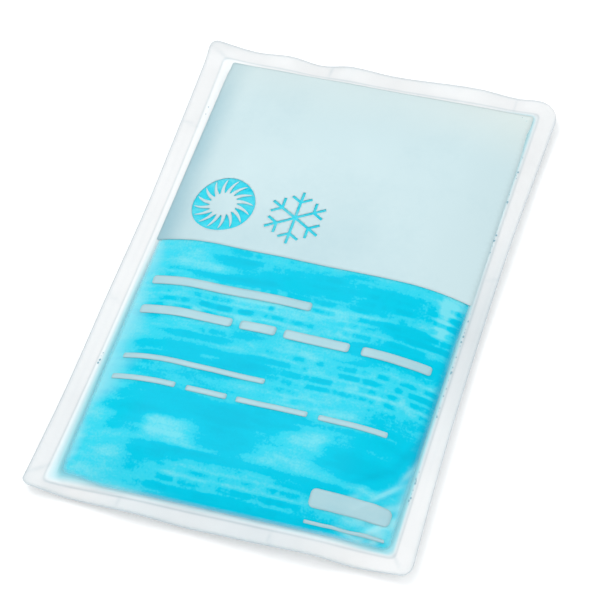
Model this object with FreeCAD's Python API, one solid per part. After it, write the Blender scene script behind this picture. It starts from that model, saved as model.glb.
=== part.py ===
import FreeCAD, Part
import math
import os

# Reusable cold and hot pack: a gel filling welded between two clear films, with a pale
# panel printed on the front film. Lengths are in millimetres. The pack lies on its back:
# X runs across it, Y along it towards its printed end, and Z up from what it rests on.

V = FreeCAD.Vector

# Cut edge of the films, measured between the corners
PACK_WIDTH = 140.0
PACK_LENGTH = 201.0
CORNER_RADIUS = 3.5
WORN_CORNER_RADIUS = 8.5

# How far the middle of each cut edge is drawn in by the filling, or pushed out if negative
CUT_BOWS = {"left": 1.8, "right": 2.6, "bottom": -1.4, "top": -0.5}

# Welded rim between the cut edge and the chamber
LEFT_RIM = 7.0
RIGHT_RIM = 7.0
TOP_RIM = 5.6
BOTTOM_RIM = 3.9
WELD_SLANT = 2.2
WELD_BOWS = {"left": 1.5, "right": 0.8, "bottom": 0.3, "top": 0.5}
WELD_RADIUS = 2.5
BEAD = 0.15

# Films: the chamber swells from a foot inside the weld, over a round shoulder, to a level face,
# and its four hips, where two shoulders meet, are rounded. All radii are of the film's inside.
FILM = 0.3
WELD_HEIGHT = 3.6
FOOT_GAP = 1.1
CROWN = 6.9
FRONT_SHOULDER = 65.0
FRONT_HIP = 12.0
BACK_SHOULDER = 30.0
BACK_HIP = 8.0

# Crests and dips of the rim: place along the edge from -1 to 1, then rise of the cut edge there
TOP_WAVE = ((-1.0, 2.8), (-0.71, -0.2), (-0.54, 0.8), (-0.36, -1.6), (-0.17, 0.9), (0.07, -0.4),
            (0.54, 1.5), (0.76, 0.0), (0.87, 1.0), (1.0, 0.6))
BOTTOM_WAVE = ((-1.0, 0.4), (-0.74, -1.6), (-0.37, 0.3), (-0.13, -0.8), (0.11, 0.2), (0.49, 1.6),
               (0.74, -1.0), (1.0, 0.4))
LEFT_WAVE = ((-1.0, 0.2), (-0.62, -0.4), (-0.2, 0.5), (0.22, -0.3), (0.6, 0.6), (1.0, 0.8))
RIGHT_WAVE = ((-1.0, 0.3), (-0.55, 0.6), (-0.08, -0.5), (0.35, 0.5), (0.72, -0.4), (1.0, 0.5))
WAVE_REACH = 12.0

# Gel, set in from the chamber's foot where the films lie together with nothing between them
GEL_GAP_LEFT = 2.3
GEL_GAP_RIGHT = 0.4
GEL_GAP_BOTTOM = 0.9
GEL_GAP_TOP = 0.7
GEL_RADIUS = 4.0
GEL_CLEARANCE = 0.1

# Pale printed panel, measured in from the weld, and its lower edge from the middle
INK = 0.1
INK_CLEARANCE = 0.1
PANEL_GAP_LEFT = 4.2
PANEL_GAP_RIGHT = 1.8
PANEL_GAP_TOP = 1.4
PANEL_LOWER_EDGE = 6.2
PANEL_RADIUS = 1.0

# Sun: a bare disc in the panel that holds a printed sun, placed from the panel's left and lower edges
SUN_FROM_LEFT = 21.0
SUN_FROM_BELOW = 17.6
SUN_OPENING_RADIUS = 12.0
SUN_DISC_RADIUS = 5.2
SUN_RAYS = 16
SUN_RAY_REACH = 11.3
SUN_RAY_WIDTH = 1.7
SUN_RAY_SWEEP = 12.0

# Snowflake: bare strokes in the panel, level with the sun
FLAKE_FROM_SUN = 28.0
FLAKE_ARMS = 6
FLAKE_ARM = 11.7
FLAKE_FORK = 7.0
FLAKE_BRANCH = 4.4
FLAKE_BRANCH_ANGLE = 60.0
FLAKE_STROKE = 1.1

# Construction: grid pitch of the waved surface, how far the cutters run past the pack, and how
# far the shoulders run on below their foot
GRID = 5.0
MARGIN = 10.0
REACH = 4 * MARGIN
RUN_ON = 3.0


class Outline:
    """A four-sided outline whose sides are shallow arcs."""

    def __init__(self, left, right, bottom, top, bows, slant=0.0):
        self.left, self.right, self.bottom, self.top = left, right, bottom, top
        self.bows, self.slant = bows, slant

    def across(self, x):
        """Place of x from the middle line, -1 to 1 between the corners."""
        return (2 * x - self.left - self.right) / (self.right - self.left)

    def along(self, y):
        """Place of y from the middle line, -1 to 1 between the corners."""
        return (2 * y - self.bottom - self.top) / (self.top - self.bottom)

    def left_at(self, y):
        return self.left + self.bows["left"] * (1 - self.along(y) ** 2)

    def right_at(self, y):
        return self.right - self.bows["right"] * (1 - self.along(y) ** 2)

    def bottom_at(self, x):
        tilt = self.slant / 2 * self.across(x)
        return self.bottom + tilt + self.bows["bottom"] * (1 - self.across(x) ** 2)

    def top_at(self, x):
        return self.top - self.bows["top"] * (1 - self.across(x) ** 2)

    def inset(self, left, right, bottom, top):
        """The same outline, moved in by a distance of its own on each side."""
        return Outline(self.left + left, self.right - right, self.bottom + bottom, self.top - top,
                       self.bows, self.slant)

    def corners(self, z):
        """Corners, round from the bottom left."""
        low = [V(x, self.bottom_at(x), z) for x in (self.left, self.right)]
        return low + [V(x, self.top, z) for x in (self.right, self.left)]

    def prism(self, low, high, radii):
        """Upright solid on the outline; radii go round from the bottom left corner."""
        x, y = (self.left + self.right) / 2, (self.bottom + self.top) / 2
        middles = ((x, self.bottom_at(x)), (self.right_at(y), y), (x, self.top_at(x)), (self.left_at(y), y))
        corners = self.corners(low)
        sides = []
        for k, middle in enumerate(middles):
            start, end = corners[k], corners[(k + 1) % 4]
            sides.append(shallow_arc(start, V(*middle, low), end))
        solid = Part.Face(Part.Wire(sides)).extrude(V(0, 0, high - low))
        for corner, radius in zip(corners, radii):
            solid = solid.makeFillet(radius, [e for e in solid.Edges if rises_from(e, corner)])
        return solid


def shallow_arc(start, middle, end):
    """Arc through three points, or a straight edge where they lie in line."""
    if middle.distanceToLine(start, end - start) < 1e-6:
        return Part.LineSegment(start, end).toShape()
    return Part.Arc(start, middle, end).toShape()


def rises_from(edge, corner):
    """Whether an edge is the upright one over a corner."""
    return all(math.hypot(v.X - corner.x, v.Y - corner.y) < 1e-6 for v in edge.Vertexes)


CUT = Outline(-PACK_WIDTH / 2, PACK_WIDTH / 2, -PACK_LENGTH / 2, PACK_LENGTH / 2, CUT_BOWS)
CUT_RADII = (CORNER_RADIUS, CORNER_RADIUS, WORN_CORNER_RADIUS, CORNER_RADIUS)
WELD = Outline(CUT.left + LEFT_RIM, CUT.right - RIGHT_RIM, CUT.bottom + BOTTOM_RIM, CUT.top - TOP_RIM,
               WELD_BOWS, WELD_SLANT)
STRAIGHT = {"left": 0.0, "right": 0.0, "bottom": 0.0, "top": 0.0}
FOOT = Outline(WELD.left + WELD_BOWS["left"], WELD.right - WELD_BOWS["right"],
               WELD.bottom + WELD_BOWS["bottom"], WELD.top - WELD_BOWS["top"], STRAIGHT,
               WELD_SLANT).inset(*[FOOT_GAP] * 4)
PANEL = Outline(WELD.left + PANEL_GAP_LEFT, WELD.right - PANEL_GAP_RIGHT, PANEL_LOWER_EDGE,
                WELD.top - PANEL_GAP_TOP, STRAIGHT)
SUN_CENTRE = (PANEL.left + SUN_FROM_LEFT, PANEL.bottom + SUN_FROM_BELOW)
FLAKE_CENTRE = (SUN_CENTRE[0] + FLAKE_FROM_SUN, SUN_CENTRE[1])


def eased(points, place):
    """Height between crests and dips, level at each of them."""
    for (start, low), (end, high) in zip(points, points[1:]):
        if place <= end:
            turn = (1 - math.cos(math.pi * max(place - start, 0) / (end - start))) / 2
            return low + (high - low) * turn
    return points[-1][1]


def faded(distance):
    """Share of the rim's wave that is left this far in from the cut edge."""
    return max(0.0, 1 - max(distance, 0.0) / WAVE_REACH) ** 2


def weld_height(x, y):
    """Height of the plane between the films, level under the chamber and waved at the rim."""
    across, along = CUT.across(x), CUT.along(y)
    waves = ((TOP_WAVE, across, CUT.top_at(x) - y), (BOTTOM_WAVE, across, y - CUT.bottom_at(x)),
             (LEFT_WAVE, along, x - CUT.left_at(y)), (RIGHT_WAVE, along, CUT.right_at(y) - x))
    return WELD_HEIGHT + sum(eased(wave, place) * faded(gap) for wave, place, gap in waves)


def steps(low, high):
    """Evenly spaced places from low to high, about one grid pitch apart."""
    count = math.ceil((high - low) / GRID)
    return [low + (high - low) * k / count for k in range(count + 1)]


def weld_sheet(rise=0.0):
    """Smooth surface between the films, or that far over it, past the cut edge all round."""
    places_x = steps(CUT.left - MARGIN, CUT.right + MARGIN)
    places_y = steps(CUT.bottom - MARGIN, CUT.top + MARGIN)
    surface = Part.BSplineSurface()
    surface.interpolate([[V(x, y, weld_height(x, y) + rise) for y in places_y] for x in places_x])
    return surface.toShape()


def above(surface):
    return surface.extrude(V(0, 0, REACH))


def below(surface):
    return surface.extrude(V(0, 0, -REACH))


def shoulder(start, end, up, height, radius, grown):
    """Solid behind one side of the swollen chamber, on the left of the line from start to end.

    Its face rises from that line on an arc, then stays level; up is 1, or -1 for the back.
    """
    along = (end - start).normalize()
    inward = V(0, 0, 1).cross(along)
    origin = start - along * MARGIN
    level_inset = math.sqrt(radius ** 2 - (radius - height) ** 2)

    def place(inset, rise):
        return origin + inward * inset + V(0, 0, up * rise)

    def on_arc(rise):
        above_centre = radius - height + rise
        return place(level_inset - math.sqrt((radius + grown) ** 2 - above_centre ** 2), rise)

    level, floor = height + grown, grown - RUN_ON
    far = level_inset + PACK_WIDTH + PACK_LENGTH
    low, top = on_arc(floor), place(level_inset, level)
    outer = [top, place(far, level), place(far, floor), low]
    edges = [Part.Arc(low, on_arc(height / 2), top).toShape()]
    edges += [Part.LineSegment(a, b).toShape() for a, b in zip(outer, outer[1:])]
    return Part.Face(Part.Wire(edges)).extrude(along * ((end - start).Length + 2 * MARGIN))


def swollen(up, foot, height, radius, hip, grown):
    """Solid under the swollen film: four shoulders that meet in rounded hips."""
    corners = FOOT.corners(foot)
    sides = [shoulder(a, b, up, height, radius, grown) for a, b in zip(corners, corners[1:] + corners[:1])]
    solid = sides[0].common(sides[1]).common(sides[2]).common(sides[3])
    hips = [e for e in solid.Edges if e.BoundBox.XLength > hip / 2 and e.BoundBox.YLength > hip / 2]
    return solid.makeFillet(hip + grown, hips)


def chamber_prism(grown):
    """Upright solid on the weld line, moved out by a distance."""
    return WELD.inset(*[-grown] * 4).prism(-MARGIN, 2 * MARGIN, (WELD_RADIUS + grown,) * 4)


def dome(grown):
    """Solid under the front film's swollen face, down past the weld."""
    return swollen(1, WELD_HEIGHT + BEAD, CROWN, FRONT_SHOULDER, FRONT_HIP, grown)


def belly(grown):
    """Solid over the back film's swollen face, up past the weld."""
    return swollen(-1, WELD_HEIGHT - BEAD, WELD_HEIGHT - BEAD - FILM, BACK_SHOULDER, BACK_HIP, grown)


def front_form(grown):
    """Inside of the front film, down past the table; grown by the film it is its outside."""
    prism = chamber_prism(grown)
    return prism.cut(above(weld_sheet(BEAD + grown))).fuse(dome(grown)).common(prism)


def back_form(grown):
    """Inside of the back film, up past the front; grown by the film it is its outside."""
    prism = chamber_prism(grown)
    return prism.cut(below(weld_sheet(-BEAD - grown))).fuse(belly(grown)).common(prism)


def front_film():
    """Front film: a thin rim, a step at the weld, and a skin swollen over the chamber."""
    rim = CUT.prism(-MARGIN, 2 * MARGIN, CUT_RADII).cut(above(weld_sheet(FILM)))
    return rim.fuse(front_form(FILM)).cut(below(weld_sheet())).cut(front_form(0.0))


def back_film():
    """Back film: the same rim, and a belly that lies flat on the table."""
    rim = CUT.prism(-MARGIN, 2 * MARGIN, CUT_RADII).cut(below(weld_sheet(-FILM)))
    return rim.fuse(back_form(FILM)).cut(above(weld_sheet())).cut(back_form(0.0))


def gel_fill():
    """Gel: it fills the chamber from film to film, up to its own edge inside the foot."""
    edge = FOOT.inset(GEL_GAP_LEFT, GEL_GAP_RIGHT, GEL_GAP_BOTTOM, GEL_GAP_TOP)
    front = edge.prism(WELD_HEIGHT, 2 * MARGIN, (GEL_RADIUS,) * 4).common(dome(-GEL_CLEARANCE))
    back = edge.prism(-MARGIN, WELD_HEIGHT, (GEL_RADIUS,) * 4).common(belly(-GEL_CLEARANCE))
    return front.fuse(back).removeSplitter()


def polar(centre, radius, degrees):
    """Point at a radius and an angle from a centre."""
    angle = math.radians(degrees)
    return V(centre[0] + radius * math.cos(angle), centre[1] + radius * math.sin(angle), 0)


def upright(edges):
    """Tall solid on a closed run of edges drawn on the ground."""
    return Part.Face(Part.Wire(edges)).extrude(V(0, 0, REACH))


def sun_ray(direction):
    """One swept ray, wide at the disc and pointed at its tip."""
    spread = math.degrees(SUN_RAY_WIDTH / 2 / SUN_DISC_RADIUS)
    halfway = (SUN_DISC_RADIUS + SUN_RAY_REACH) / 2
    root = SUN_DISC_RADIUS * 0.9
    tip = polar(SUN_CENTRE, SUN_RAY_REACH, direction - SUN_RAY_SWEEP)
    bend = direction - SUN_RAY_SWEEP / 4
    outer = [polar(SUN_CENTRE, root, direction - spread), polar(SUN_CENTRE, halfway, bend - spread / 3), tip]
    inner = [tip, polar(SUN_CENTRE, halfway, bend + spread / 3), polar(SUN_CENTRE, root, direction + spread)]
    base = Part.LineSegment(inner[2], outer[0]).toShape()
    return upright([Part.Arc(*outer).toShape(), Part.Arc(*inner).toShape(), base])


def sun():
    """Printed sun: a disc with rays."""
    centre = V(SUN_CENTRE[0], SUN_CENTRE[1], 0)
    disc = Part.makeCylinder(SUN_DISC_RADIUS, REACH, centre)
    return disc.fuse([sun_ray(360 * k / SUN_RAYS) for k in range(SUN_RAYS)])


def bar(start, degrees, length):
    """One straight stroke of the snowflake."""
    solid = Part.makeBox(length, FLAKE_STROKE, REACH, V(0, -FLAKE_STROKE / 2, 0))
    solid.rotate(V(0, 0, 0), V(0, 0, 1), degrees)
    solid.translate(start)
    return solid


def snowflake():
    """Snowflake: six arms, each with a pair of branches."""
    strokes = []
    for k in range(FLAKE_ARMS):
        direction = 90 + 360 * k / FLAKE_ARMS
        strokes.append(bar(polar(FLAKE_CENTRE, 0, 0), direction, FLAKE_ARM))
        fork = polar(FLAKE_CENTRE, FLAKE_FORK, direction)
        strokes += [bar(fork, direction + turn, FLAKE_BRANCH) for turn in (-FLAKE_BRANCH_ANGLE, FLAKE_BRANCH_ANGLE)]
    return strokes[0].fuse(strokes[1:])


def printed_panel():
    """Pale ink on the front film, bare at the sun and the snowflake."""
    field = PANEL.prism(WELD_HEIGHT, REACH, (PANEL_RADIUS,) * 4)
    opening = Part.makeCylinder(SUN_OPENING_RADIUS, REACH, V(SUN_CENTRE[0], SUN_CENTRE[1], 0))
    field = field.cut(opening).cut(snowflake()).fuse(sun())
    underside = FILM + INK_CLEARANCE
    return front_form(underside + INK).common(field).cut(front_form(underside))


SUB_PARTS = {"front_film": front_film, "back_film": back_film, "gel_fill": gel_fill,
             "printed_panel": printed_panel}

os.makedirs("parts", exist_ok=True)
for name, build in SUB_PARTS.items():
    shape = build()
    shape.exportStep(f"parts/{name}.step")
    print(f"{name}: {len(shape.Solids)} solid, {len(shape.Faces)} faces, {shape.Volume / 1000:.2f} cm3, "
          f"valid {shape.isValid()}")
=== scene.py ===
"""Looks of the reusable gel pack: clear film, cyan gel, pale print, and a plain studio.

Sizes are in millimetres in this file and are turned to metres as each mesh is made.
"""

import logging
import math
from dataclasses import dataclass, field
from enum import Enum
from typing import Sequence

import bpy
import numpy as np
from mathutils import Matrix, Vector
from mathutils.geometry import delaunay_2d_cdt


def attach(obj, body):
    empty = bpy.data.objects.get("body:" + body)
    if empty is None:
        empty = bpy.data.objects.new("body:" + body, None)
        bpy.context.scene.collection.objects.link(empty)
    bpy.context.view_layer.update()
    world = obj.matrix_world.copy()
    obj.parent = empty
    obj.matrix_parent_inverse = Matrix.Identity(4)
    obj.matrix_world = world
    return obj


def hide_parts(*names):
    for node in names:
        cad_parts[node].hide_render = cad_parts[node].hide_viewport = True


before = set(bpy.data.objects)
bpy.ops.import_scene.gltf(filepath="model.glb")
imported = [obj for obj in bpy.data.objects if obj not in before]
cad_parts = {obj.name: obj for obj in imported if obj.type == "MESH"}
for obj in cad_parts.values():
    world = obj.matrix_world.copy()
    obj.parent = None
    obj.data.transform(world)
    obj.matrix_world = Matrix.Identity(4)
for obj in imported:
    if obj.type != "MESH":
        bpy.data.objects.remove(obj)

MM = 0.001
Array = np.ndarray
log = logging.getLogger("gel_pack")


class Slot(Enum):
    """Material slots of the record."""

    FILM = "clear_film"
    GEL = "blue_gel"
    INK = "pale_ink"


class Node(Enum):
    """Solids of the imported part."""

    FRONT_FILM = "front_film"
    BACK_FILM = "back_film"
    GEL = "gel_fill"
    PANEL = "printed_panel"


def soft_step(value: Array, low: float, high: float) -> Array:
    """Rise smoothly from 0 at low to 1 at high."""
    t = np.clip((value - low) / (high - low), 0.0, 1.0)
    return t * t * (3 - 2 * t)


def soft_least(a: Array, b: Array, reach: float) -> Array:
    """Smaller of two lengths, with the turn between them rounded over a reach."""
    return np.minimum(a, b) - np.maximum(reach - np.abs(a - b), 0.0) ** 2 / (4 * reach)


@dataclass(frozen=True)
class Outline:
    """A four-sided outline whose sides are shallow bows, as in the part's source.

    Fields:
        left, right, bottom, top: places of the sides at the corners.
        bow_left, bow_right, bow_bottom, bow_top: how far each side bows in halfway along.
        slant: how much lower the bottom left corner is than the bottom right one.
    """

    left: float
    right: float
    bottom: float
    top: float
    bow_left: float = 0.0
    bow_right: float = 0.0
    bow_bottom: float = 0.0
    bow_top: float = 0.0
    slant: float = 0.0

    def across(self, x: Array) -> Array:
        """Place of x from the middle line, -1 to 1 between the corners."""
        return (2 * x - self.left - self.right) / (self.right - self.left)

    def along(self, y: Array) -> Array:
        """Place of y from the middle line, -1 to 1 between the corners."""
        return (2 * y - self.bottom - self.top) / (self.top - self.bottom)

    def left_at(self, y: Array) -> Array:
        """X of the left side."""
        return self.left + self.bow_left * (1 - self.along(y) ** 2)

    def right_at(self, y: Array) -> Array:
        """X of the right side."""
        return self.right - self.bow_right * (1 - self.along(y) ** 2)

    def bottom_at(self, x: Array) -> Array:
        """Y of the lower side."""
        a = self.across(x)
        return self.bottom + self.slant / 2 * a + self.bow_bottom * (1 - a ** 2)

    def top_at(self, x: Array) -> Array:
        """Y of the upper side."""
        return self.top - self.bow_top * (1 - self.across(x) ** 2)

    def inset(self, left: float, right: float, bottom: float, top: float) -> "Outline":
        """The same outline, moved in by a distance of its own on each side."""
        return Outline(self.left + left, self.right - right, self.bottom + bottom, self.top - top,
                       self.bow_left, self.bow_right, self.bow_bottom, self.bow_top, self.slant)

    def depth(self, x: Array, y: Array, reach: float) -> Array:
        """Distance inside the outline.

        Args:
            x: places across.
            y: places along.
            reach: length over which the corners are rounded.

        Returns:
            The distance at each place, negative outside.
        """
        sides = soft_least(x - self.left_at(y), self.right_at(y) - x, reach)
        ends = soft_least(y - self.bottom_at(x), self.top_at(x) - y, reach)
        return soft_least(sides, ends, reach)


# Outlines, in the part's own frame
CUT = Outline(-70.0, 70.0, -100.5, 100.5, 1.8, 2.6, -1.4, -0.5)
CUT_RADII = (3.5, 3.5, 8.5, 3.5)
CUT_RADIUS = 3.0
WELD = Outline(-63.0, 63.0, -96.6, 94.9, 1.5, 0.8, 0.3, 0.5, 2.2)
WELD_RADIUS = 2.5
FOOT_GAP = 1.1
FOOT = Outline(WELD.left + WELD.bow_left + FOOT_GAP, WELD.right - WELD.bow_right - FOOT_GAP,
               WELD.bottom + WELD.bow_bottom + FOOT_GAP, WELD.top - WELD.bow_top - FOOT_GAP,
               slant=WELD.slant)
PANEL = Outline(-58.8, 61.2, 6.2, 93.5)
PANEL_RADIUS = 1.0
GEL_EDGE = FOOT.inset(0.6, 0.4, 0.7, 0.7)
GEL_RADIUS = 3.0

# Thicknesses, heights and the narrow gaps between the pieces
FILM = 0.3
BEAD = 0.15
WELD_HEIGHT = 3.6
CLEARANCE = 0.03
INK = 0.02
INK_CLEARANCE = 0.035

# Crests and dips of the cut edges: place along the edge, -1 to 1, and height
WAVES_TOP = ((-1.0, 2.8), (-0.71, -0.2), (-0.54, 0.8), (-0.36, -1.6), (-0.17, 0.9), (0.07, -0.4),
             (0.54, 1.5), (0.76, 0.0), (0.87, 1.0), (1.0, 0.6))
WAVES_BOTTOM = ((-1.0, 0.4), (-0.74, -1.6), (-0.37, 0.3), (-0.13, -0.8), (0.11, 0.2), (0.49, 1.6),
                (0.74, -1.0), (1.0, 0.4))
WAVES_LEFT = ((-1.0, 0.2), (-0.62, -0.4), (-0.2, 0.5), (0.22, -0.3), (0.6, 0.6), (1.0, 0.8))
WAVES_RIGHT = ((-1.0, 0.3), (-0.55, 0.6), (-0.08, -0.5), (0.35, 0.5), (0.72, -0.4), (1.0, 0.5))
WAVE_REACH = 12.0


@dataclass(frozen=True)
class Shoulder:
    """Round shoulder over which a film swells from its foot to its level face.

    Fields:
        height: rise from the foot to the level face.
        radius: radius of the film's inner face.
        run_on: how far the round runs on below the foot.
    """

    height: float
    radius: float
    run_on: float = 8.0

    def rise(self, inset: Array, grown: float) -> Array:
        """Height over the foot.

        Args:
            inset: distance inside the foot's outline.
            grown: distance outwards from the film's inner face.

        Returns:
            The height of that face at each place.
        """
        level = math.sqrt(self.radius ** 2 - (self.radius - self.height) ** 2)
        run = np.clip(level - inset, 0.0, level + self.run_on)
        return np.sqrt((self.radius + grown) ** 2 - run ** 2) - (self.radius - self.height)


@dataclass(frozen=True)
class Ripple:
    """Smooth random unevenness, as a sum of plane waves that a seed fixes.

    Fields:
        seed: start of the random draws.
        shortest, longest: lengths of the waves.
        stretch: how many times longer they are along X.
        waves: how many there are.
        height: height of the sum.
    """

    seed: int
    shortest: float
    longest: float
    stretch: float = 1.0
    waves: int = 28
    height: float = 0.9

    def at(self, x: Array, y: Array) -> Array:
        """Unevenness at each place.

        Args:
            x: places across.
            y: places along.

        Returns:
            A value mostly between -1 and 1.
        """
        draw = np.random.RandomState(self.seed)
        total = np.zeros_like(x)
        for _ in range(self.waves):
            length = math.exp(draw.uniform(math.log(self.shortest), math.log(self.longest)))
            turn, phase = draw.uniform(0, 2 * math.pi, 2)
            run = x * math.cos(turn) / self.stretch + y * math.sin(turn)
            total += np.sin(2 * math.pi * run / length + phase)
        return total / math.sqrt(self.waves) * self.height


@dataclass(frozen=True)
class Crease:
    """A fold or dent pressed into the film, or a streak, between two places.

    Fields:
        start, end: its two ends.
        depth: its rise or strength halfway along, negative for a dent.
        width: half of its width.
        tip: share of the depth that is left at its ends.
    """

    start: tuple[float, float]
    end: tuple[float, float]
    depth: float
    width: float
    tip: float = 0.35

    def at(self, x: Array, y: Array) -> Array:
        """Rise of the film that the crease brings, deepest at its middle.

        Args:
            x: places across.
            y: places along.

        Returns:
            The rise at each place.
        """
        ax, ay = self.start
        bx, by = self.end[0] - ax, self.end[1] - ay
        length = bx * bx + by * by
        t = np.clip(((x - ax) * bx + (y - ay) * by) / length, 0.0, 1.0)
        away = np.hypot(x - ax - t * bx, y - ay - t * by)
        along = self.tip + (1 - self.tip) * np.sin(math.pi * t)
        return self.depth * np.exp(-(away / self.width) ** 2) * along


def edge_wave(points: Sequence[tuple[float, float]], place: Array) -> Array:
    """Rise of a cut edge between its crests and dips, level at each of them.

    Args:
        points: place of each crest and dip, -1 to 1 along the edge, and its height.
        place: places along the edge, -1 to 1.

    Returns:
        The rise at each place.
    """
    rise = np.full_like(place, points[-1][1])
    for (start, low), (end, high) in reversed(list(zip(points, points[1:]))):
        turn = (1 - np.cos(math.pi * np.clip((place - start) / (end - start), 0, 1))) / 2
        rise = np.where(place <= end, low + (high - low) * turn, rise)
    return rise


@dataclass(frozen=True)
class PackForm:
    """Heights of every film face, in the part's own frame.

    Fields:
        front, back: shoulders of the two films.
        front_hip, back_hip: how far the corners of the swelling are rounded.
        swell, swell_depth: wide unevenness that the filling leaves on the front.
        quilting, quilting_depth: finer unevenness on top of it.
        lining_depth: how much nearer the print the gel comes over the chamber.
        creases: folds and dents.
    """

    front: Shoulder = Shoulder(6.9, 65.0)
    back: Shoulder = Shoulder(WELD_HEIGHT - BEAD - FILM, 30.0)
    front_hip: float = 9.0
    back_hip: float = 6.0
    swell: Ripple = Ripple(11, 26.0, 70.0)
    swell_depth: float = 0.34
    quilting: Ripple = Ripple(5, 9.0, 22.0)
    quilting_depth: float = 0.07
    lining_depth: float = 0.22
    creases: tuple[Crease, ...] = (
        Crease((59.5, -66.0), (49.0, -76.0), -0.55, 1.6),
        Crease((60.0, -73.0), (46.0, -84.0), 0.5, 1.5),
        Crease((60.0, -79.0), (50.0, -88.0), -0.5, 1.3),
        Crease((59.0, -86.0), (47.0, -91.5), 0.45, 1.4),
        Crease((54.0, -93.5), (40.0, -88.0), -0.5, 1.5),
        Crease((42.0, -95.0), (36.0, -84.0), 0.35, 1.6),
        Crease((57.0, -48.0), (51.0, -62.0), -0.4, 2.2),
        Crease((-58.0, -86.0), (-49.0, -78.0), -0.4, 1.8),
        Crease((-56.0, 86.0), (-47.0, 76.0), -0.2, 2.4),
        Crease((58.0, 88.0), (50.0, 78.0), -0.2, 2.4),
        Crease((-59.0, -34.0), (-50.0, -46.0), -0.35, 2.4),
    )

    def weld(self, x: Array, y: Array) -> Array:
        """Height of the plane between the films.

        Args:
            x: places across.
            y: places along.

        Returns:
            The height, wavy near the cut edge and level inside.
        """
        across, along = CUT.across(x), CUT.along(y)
        height = np.full_like(x, WELD_HEIGHT)
        for points, place, gap in ((WAVES_TOP, across, CUT.top_at(x) - y),
                                   (WAVES_BOTTOM, across, y - CUT.bottom_at(x)),
                                   (WAVES_LEFT, along, x - CUT.left_at(y)),
                                   (WAVES_RIGHT, along, CUT.right_at(y) - x)):
            share = np.clip(1 - np.maximum(gap, 0.0) / WAVE_REACH, 0.0, 1.0) ** 2
            height += edge_wave(points, place) * share
        return height

    def inside_weld(self, x: Array, y: Array) -> Array:
        """1 inside the weld line, 0 on the rim, with the weld's small step between."""
        return soft_step(WELD.depth(x, y, WELD_RADIUS), -0.25, 0.35)

    def unevenness(self, x: Array, y: Array) -> Array:
        """What filling and handling leave on the swollen front, nothing at its foot.

        Args:
            x: places across.
            y: places along.

        Returns:
            The rise at each place.
        """
        inset = FOOT.depth(x, y, self.front_hip)
        folds = sum(crease.at(x, y) for crease in self.creases)
        soft = self.swell_depth * self.swell.at(x, y) + self.quilting_depth * self.quilting.at(x, y)
        return soft * soft_step(inset, 0.0, 16.0) + folds * soft_step(inset, -0.5, 3.5)

    def lining(self, x: Array, y: Array) -> Array:
        """How much nearer the print the gel comes over the chamber, where the film scatters light."""
        return self.lining_depth * soft_step(FOOT.depth(x, y, self.front_hip), 0.5, 4.0)

    def front_skin(self, x: Array, y: Array, grown: float) -> Array:
        """Height of a face of the front film.

        Args:
            x: places across.
            y: places along.
            grown: distance outwards from the film's inner face.

        Returns:
            The height at each place.
        """
        seat = self.weld(x, y)
        inset = FOOT.depth(x, y, self.front_hip)
        dome = WELD_HEIGHT + BEAD + self.front.rise(inset, grown) + self.unevenness(x, y)
        return np.maximum(dome, seat + BEAD + grown)

    def back_skin(self, x: Array, y: Array, grown: float) -> Array:
        """Height of a face of the back film.

        Args:
            x: places across.
            y: places along.
            grown: distance outwards from the film's inner face.

        Returns:
            The height at each place.
        """
        seat = self.weld(x, y)
        inset = FOOT.depth(x, y, self.back_hip)
        belly = WELD_HEIGHT - BEAD - self.back.rise(inset, grown)
        return np.minimum(belly, seat - BEAD - grown)

    def front_face(self, x: Array, y: Array, grown: float) -> Array:
        """Height of the whole front film, rim and all; grown is 0 or the film's thickness."""
        share = self.inside_weld(x, y)
        return self.front_skin(x, y, grown) * share + (self.weld(x, y) + grown) * (1 - share)

    def back_face(self, x: Array, y: Array, grown: float) -> Array:
        """Height of the whole back film, rim and all."""
        share = self.inside_weld(x, y)
        return self.back_skin(x, y, grown) * share + (self.weld(x, y) - grown) * (1 - share)


FORM = PackForm()


def linear(code: str) -> tuple[float, float, float, float]:
    """Turn an sRGB hex colour into Blender's linear one.

    Args:
        code: the colour, as #RRGGBB.

    Returns:
        Red, green, blue and a full alpha.
    """
    parts = [int(code.lstrip("#")[k:k + 2], 16) / 255 for k in (0, 2, 4)]
    curve = [p / 12.92 if p <= 0.04045 else ((p + 0.055) / 1.055) ** 2.4 for p in parts]
    return (*curve, 1.0)


class Kind(Enum):
    """Kinds of node that the finishes, the studio and the bubbles are made of."""

    ATTRIBUTE = "ShaderNodeAttribute"
    BACKGROUND = "ShaderNodeBackground"
    BALL = "GeometryNodeMeshIcoSphere"
    BUMP = "ShaderNodeBump"
    CLAMP = "ShaderNodeClamp"
    COMBINE = "ShaderNodeCombineXYZ"
    COORDINATES = "ShaderNodeTexCoord"
    DISTRIBUTE = "GeometryNodeDistributePointsOnFaces"
    GROUP_INPUT = "NodeGroupInput"
    GROUP_OUTPUT = "NodeGroupOutput"
    INSTANCE = "GeometryNodeInstanceOnPoints"
    LIGHT_PATH = "ShaderNodeLightPath"
    MAPPING = "ShaderNodeMapping"
    MATERIAL_OUTPUT = "ShaderNodeOutputMaterial"
    MATH = "ShaderNodeMath"
    MIX = "ShaderNodeMix"
    NOISE = "ShaderNodeTexNoise"
    PRINCIPLED = "ShaderNodeBsdfPrincipled"
    RAMP = "ShaderNodeValToRGB"
    RANDOM = "FunctionNodeRandomValue"
    RANGE = "ShaderNodeMapRange"
    REALIZE = "GeometryNodeRealizeInstances"
    SEPARATE = "ShaderNodeSeparateXYZ"
    SET_MATERIAL = "GeometryNodeSetMaterial"
    VECTOR_MATH = "ShaderNodeVectorMath"
    WORLD_OUTPUT = "ShaderNodeOutputWorld"


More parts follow.
